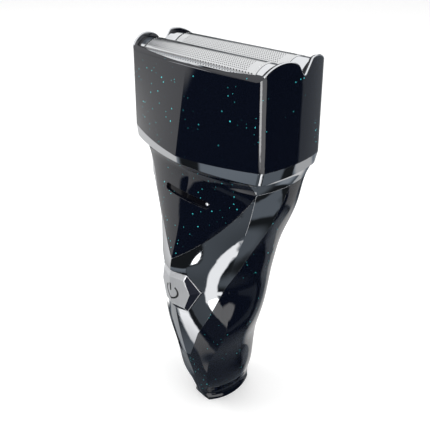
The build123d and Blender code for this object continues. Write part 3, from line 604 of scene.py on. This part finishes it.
edge_holes = maths(tree, "MULTIPLY", edge_holes,
                   maths(tree, "LESS_THAN", from_middle, half_length_mm - edge_blank_end))
holes = maths(tree, "MAXIMUM", holes, edge_holes)
# Painted shade: each hole gets the dark hole colour.
tree.links.new(blended(tree, holes, steel_colour, hole_shade_colour), shader.inputs["Base Color"])
rolled = noise(tree, object_point(tree), rolled_scale)
tree.links.new(scaled(tree, rolled, rolled_spread, rolled_least), shader.inputs["Roughness"])
bump(tree, shader, rest_of(tree, holes), hole_depth, 0.5)
welds, tree, shader = new_material("weld_steel", weld_colour, 0.12, 1.0)
bump(tree, shader, noise(tree, object_point(tree), 3000.0), 1e-5)

outline_count = 41
station_count = 61
outer, outer_reach = foil_outline(0.0, outline_count)
inner, inner_reach = foil_outline(sheet_thickness, outline_count)
loop = np.concatenate([outer, inner[::-1]])
loop_reach = np.concatenate([outer_reach, inner_reach[::-1]])
around = len(loop)
stations = np.linspace(front_low[0], front_high[0], station_count)
step = np.arange(len(outer) - 1)
end_faces = np.stack([step, step + 1, around - 2 - step, around - 1 - step], -1)
foil_faces = np.concatenate([grid_faces(station_count, around, True)[:, ::-1], end_faces,
                             end_faces[:, ::-1] + (station_count - 1) * around]).tolist()

weld_radius = 0.00017
weld_rise = 0.7
weld_sunk = 0.00003
weld_pitch = 0.0009
weld_inset = 0.0007
weld_reach = 0.85
weld_rings = np.array([1.0, 0.8, 0.45])
weld_sides = 10
weld_turns = np.arange(-weld_reach * foil_bend, weld_reach * foil_bend, weld_pitch / arch_radius)
for name, body in (("front_foil", "front_foil_unit"), ("rear_foil", "rear_foil_unit")):
    low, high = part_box(name)
    middle_y = (low[1] + high[1]) / 2
    points = np.empty((station_count, around, 3))
    points[..., 0] = stations[:, None]
    points[..., 1] = middle_y + loop[:, 0]
    points[..., 2] = loop[:, 1]
    sheet = add_piece(name + "_sheet", points, foil_faces, [foil_steel], body)
    unwrap(sheet, np.repeat(metres_to_sheet * stations, around),
           np.tile(metres_to_sheet * loop_reach, station_count))
    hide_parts(name)

    # A weld is a flat dome: rings that rise as they close in, on the arch's normal at its place, the
    # rise being the root of 1 less the square of the ring's share.
    weld_ends = (low[0] + weld_inset, high[0] - weld_inset)
    ends_x, turns = np.meshgrid(weld_ends, weld_turns, indexing="ij")
    flat = 0 * turns
    normal = np.stack([flat, np.sin(turns), np.cos(turns)], -1)
    sideways = np.stack([flat, np.cos(turns), -np.sin(turns)], -1)
    centre = np.stack([ends_x, flat + middle_y, flat + high[2] - arch_radius], -1)
    seat = arch_radius * normal + centre
    ring_turn = np.linspace(0, 2 * math.pi, weld_sides, endpoint=False)
    out_x = weld_radius * np.outer(weld_rings, np.cos(ring_turn))[None, None, :, :, None]
    out_y = weld_radius * np.outer(weld_rings, np.sin(ring_turn))[None, None, :, :, None]
    rise = weld_rise * weld_radius * np.sqrt(1 - weld_rings ** 2) - weld_sunk
    domes = (seat[:, :, None, None] + out_x * np.array((1.0, 0, 0))
             + out_y * sideways[:, :, None, None]
             + rise[None, None, :, None, None] * normal[:, :, None, None])
    per_dome = len(weld_rings) * weld_sides
    first_points = per_dome * np.arange(domes.shape[0] * domes.shape[1])[:, None]
    sides = grid_faces(len(weld_rings), weld_sides, True)[None] + first_points[:, :, None]
    tops = np.arange(per_dome - weld_sides, per_dome) + first_points
    soles = np.arange(weld_sides)[::-1] + first_points
    add_piece(name + "_welds", domes, sides.reshape(-1, 4).tolist() + tops.tolist() + soles.tolist(),
              [welds], body)

# ---------------------------------------------------------------- foil end caps
# Caps that close the ends of both foils: moulded in black plastic with a satin grain, and welded in
# under the sheets, so that they sink with them.
def dress(material, *nodes):
    """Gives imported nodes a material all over."""
    for node in nodes:
        mesh = frame["nodes"][node].data
        mesh.materials.clear()
        mesh.materials.append(material)
        mesh.polygons.foreach_set("material_index", np.zeros(len(mesh.polygons), np.int32))


def plain_finish(name, colour, roughness, metallic, grain, depth):
    """A plain material whose colour, roughness and surface vary a little: its grain has so many
    features in a metre, depth metres deep, and its colour varies over twelve times their size."""
    material, tree, shader = new_material(name, colour, roughness, metallic)
    point = object_point(tree)
    fine = noise(tree, point, grain, 3.0)
    broad = noise(tree, point, grain / 12)
    darker = tuple(0.86 * part for part in colour)
    lighter = tuple(min(1.0, 1.12 * part) for part in colour)
    tree.links.new(blended(tree, broad, darker, lighter), shader.inputs["Base Color"])
    tree.links.new(scaled(tree, fine, 0.12, max(0.02, roughness - 0.06)), shader.inputs["Roughness"])
    bump(tree, shader, fine, depth)
    return material


black_satin = plain_finish("black_satin", (0.010, 0.010, 0.011), 0.34, 0.0, 2600.0, 4e-6)
dress(black_satin, "front_foil_ends", "rear_foil_ends")

# ---------------------------------------------------------------- slot across the front panel
# A long narrow slot with a dark glossy window in it; a small bright lens closes its right end.
window_gloss = plain_finish("window_gloss", (0.004, 0.004, 0.006), 0.10, 0.0, 1800.0, 5e-7)
window_gloss.node_tree.nodes["Principled BSDF"].inputs["Specular IOR Level"].default_value = 0.2
dress(window_gloss, "slot_window")


def dome_points(centre, axis, radius, height, rings, sides):
    """A flat dome: rings whose radius falls as a cosine and whose height rises as a sine along the
    axis, up to nearly a quarter turn."""
    axis = np.array(axis) / np.linalg.norm(axis)
    first = np.cross(axis, (0, 0, 1.0))
    first /= np.linalg.norm(first)
    second = np.cross(axis, first)
    share = np.linspace(0, 0.97 * math.pi / 2, rings)[:, None, None]
    turn = np.linspace(0, 2 * math.pi, sides, endpoint=False)[None, :, None]
    ring = np.cos(turn) * first + np.sin(turn) * second
    return np.array(centre) + radius * np.cos(share) * ring + height * np.sin(share) * axis


slot_low, slot_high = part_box("slot_window")
slot_data = frame["nodes"]["slot_window"].data
slot_points = np.empty(3 * len(slot_data.vertices), np.float32)
slot_data.vertices.foreach_get("co", slot_points)
slot_points = slot_points.reshape(-1, 3)
slot_end = 0.0025
end_face_y = slot_points[slot_points[:, 0] > slot_high[0] - slot_end][:, 1].min()
lens_radius = 0.00075
lens_height = 0.0006
lens_inset = 0.0013
lens_sunk = 0.00030
lens_axis = (0.45, -0.89, 0.0)
lens_rings, lens_sides = 7, 24
lens_steel = plain_finish("lens_steel", (0.82, 0.84, 0.87), 0.08, 1.0, 900.0, 1e-6)
lens_centre = (slot_high[0] - lens_inset, end_face_y + lens_sunk, (slot_low[2] + slot_high[2]) / 2)
lens = dome_points(lens_centre, lens_axis, lens_radius, lens_height, lens_rings, lens_sides)
lens_top = (lens_rings - 1) * lens_sides
lens_caps = [list(range(lens_sides))[::-1], list(range(lens_top, lens_top + lens_sides))]
add_piece("slot_lens", lens, grid_faces(lens_rings, lens_sides, True).tolist() + lens_caps,
          [lens_steel], "handle")

# ---------------------------------------------------------------- power button
# A hexagonal button folded along its middle: satin metal face, with the usual power sign inlaid in
# black. It sits in a hole of the fascia. Its bevels are coloured by the way they face: the top one
# bright satin, a painted highlight, and the others and the sides dark blue, painted shade.
satin_middle = (0.66, 0.67, 0.69)
satin_dull, satin_light = (0.58, 0.59, 0.61), (0.70, 0.71, 0.73)
button_satin, tree, shader = new_material("button_satin", satin_middle, 0.36, 0.55)
strokes = tree.nodes.new("ShaderNodeMapping")
strokes.inputs["Scale"].default_value = (3000.0, 3000.0, 90.0)
tree.links.new(object_point(tree), strokes.inputs["Vector"])
brushed = noise(tree, strokes.outputs["Vector"], 1.0, 3.0)
tree.links.new(blended(tree, brushed, satin_dull, satin_light), shader.inputs["Base Color"])
tree.links.new(scaled(tree, brushed, 0.16, 0.28), shader.inputs["Roughness"])
bump(tree, shader, brushed, 2e-6)
# Painted shade: the dark blue given to the lower and side bevels and to the button's sides.
button_painted_shade = plain_finish("button_painted_shade", (0.0050, 0.0070, 0.0160), 0.36, 0.0, 2600.0, 1e-6)
button_painted_shade.node_tree.nodes["Principled BSDF"].inputs["Specular IOR Level"].default_value = 0.12


def lit_or_shaded_side(normal):
    """0, the satin, for the folded face and the top bevel, which is a painted highlight; 1, the dark
    blue of painted shade, for the other bevels and the sides.
    """
    folded_face = normal.y < -0.93 and abs(normal.z) < 0.12
    top_bevel = normal.y < -0.8 and normal.z > 0.3
    return 0 if folded_face or top_bevel else 1


button_round = 0.00018
rounded("power_button", button_round, 2, [button_satin, button_painted_shade], lit_or_shaded_side)

# The sign is a ring open at the top and an upright bar, laid into both leaves of the folded face.
leaf_x, leaf_y, leaf_z = 0.322, -0.947, -0.016
fold_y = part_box("power_button")[0][1]
fold_top_z = 0.0725
sign_z = 0.0668
sign_radius = 0.0029
sign_stroke = 0.00036
sign_gap = math.radians(38)
sign_bar_foot, sign_bar_length = 0.0006, 0.0033
sign_proud = 0.00004
sign_sunk = 0.00040
ring_points, bar_points = 73, 9


def inlay(name, centre, across):
    """A flat ribbon laid into the button's face: its edges lie on both sides of a centre line of x
    and z, by the way across. Its depth is the leaf's, which falls back from the fold in proportion
    to x and z."""
    edges = np.stack([centre + across, centre - across], 1)
    x, z = edges[..., 0], edges[..., 1]
    face_y = fold_y + (leaf_x * np.abs(x) + leaf_z * (z - fold_top_z)) / -leaf_y
    front = np.stack([x, face_y - sign_proud, z], -1)
    back = np.stack([x, face_y + sign_sunk, z], -1)
    points = np.concatenate([front, back[:, ::-1]], 1)
    count = len(centre)
    caps = [[3, 2, 1, 0], [4 * (count - 1) + number for number in range(4)]]
    add_piece(name, points, grid_faces(count, 4, True).tolist() + caps, [black_satin], "button")


turn = np.linspace(sign_gap, 2 * math.pi - sign_gap, ring_points)
ring = np.stack([np.sin(turn), np.cos(turn)], -1)
inlay("power_sign_ring", sign_radius * ring + (0, sign_z), sign_stroke * ring)
bar_z = sign_z + np.linspace(sign_bar_foot, sign_bar_foot + sign_bar_length, bar_points)
bar = np.stack([np.zeros(bar_points), bar_z], -1)
for side_name, side in (("right", 1), ("left", -1)):
    inlay("power_sign_bar_" + side_name, bar + (side * sign_stroke / 2, 0),
          np.tile((sign_stroke / 2, 0.0), (bar_points, 1)))

# ---------------------------------------------------------------- foot: cap, charging socket, screws
# A black moulded cap closes the foot; two steel screws hold it, and the charging socket with its
# contact tongue opens downwards through it.
foot_black = plain_finish("foot_black", (0.012, 0.012, 0.013), 0.42, 0.0, 3000.0, 8e-6)
socket_black = plain_finish("socket_black", (0.016, 0.016, 0.018), 0.30, 0.0, 2000.0, 3e-6)
screw_steel = plain_finish("screw_steel", (0.52, 0.52, 0.53), 0.30, 1.0, 5000.0, 2e-6)
dress(foot_black, "base_cap")
dress(socket_black, "charging_socket")
dress(screw_steel, "base_screws", "deck_screws")

# ---------------------------------------------------------------- chassis, cell and board
# Inside the handle: a grey moulded chassis carries the wrapped cell between two nickel contacts,
# and the green circuit board with its switch and its lamp.
inner_grey = plain_finish("inner_grey", (0.10, 0.105, 0.11), 0.50, 0.0, 2400.0, 1e-5)
cell_wrap = plain_finish("cell_wrap", (0.05, 0.16, 0.34), 0.32, 0.0, 700.0, 4e-6)
nickel = plain_finish("nickel", (0.62, 0.60, 0.56), 0.24, 1.0, 2600.0, 2e-6)
board_green = plain_finish("board_green", (0.012, 0.10, 0.035), 0.38, 0.0, 1500.0, 5e-6)
lamp_lens = plain_finish("lamp_lens", (0.55, 0.60, 0.62), 0.16, 0.0, 1800.0, 1e-6)
dress(inner_grey, "inner_chassis")
dress(cell_wrap, "cell")
dress(nickel, "cell_contacts")
dress(board_green, "circuit_board")
dress(lamp_lens, "indicator_lamp")
dress(socket_black, "push_switch", "switch_plunger")

# ---------------------------------------------------------------- deck, seal and motor
# Under the head a black deck is screwed to the chassis; the motor hangs below it in a steel can,
# and its shaft comes up through a rubber seal.
deck_black = plain_finish("deck_black", (0.018, 0.018, 0.020), 0.44, 0.0, 2600.0, 8e-6)
seal_rubber = plain_finish("seal_rubber", (0.020, 0.020, 0.021), 0.70, 0.0, 4000.0, 1.2e-5)
motor_can = plain_finish("motor_can", (0.46, 0.46, 0.47), 0.28, 1.0, 1600.0, 3e-6)
shaft_steel = plain_finish("shaft_steel", (0.60, 0.60, 0.61), 0.16, 1.0, 3200.0, 1e-6)
dress(deck_black, "top_deck")
dress(seal_rubber, "shaft_seal")
dress(motor_can, "drive_motor")
dress(shaft_steel, "motor_shaft")

# ---------------------------------------------------------------- cutters and their drive
# The eccentric's pin shakes a white bridge on two leaf springs; its posts carry both cutters, whose
# thin hardened blades stand in a row on a moulded carrier and are pressed up by coil springs.
drive_white = plain_finish("drive_white", (0.62, 0.63, 0.64), 0.40, 0.0, 2400.0, 6e-6)
drive_grey = plain_finish("drive_grey", (0.22, 0.225, 0.235), 0.42, 0.0, 2400.0, 6e-6)
spring_steel = plain_finish("spring_steel", (0.50, 0.50, 0.52), 0.22, 1.0, 4200.0, 1e-6)
blade_steel = plain_finish("blade_steel", (0.66, 0.67, 0.69), 0.20, 1.0, 5200.0, 1e-6)
dress(drive_white, "drive_bridge", "eccentric")
dress(drive_grey, "front_cutter_carrier", "rear_cutter_carrier")
dress(spring_steel, "leaf_springs")
dress(blade_steel, "front_cutter_blades", "rear_cutter_blades")

# The coil springs stand on the bridge; each is rounded, and its piece gets a mesh of its own.
wire_round = 0.00002
for side_name in ("front", "rear"):
    low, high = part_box(side_name + "_cutter_spring")
    coil = rounded(side_name + "_cutter_spring", wire_round, 1, [spring_steel])
    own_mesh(coil)
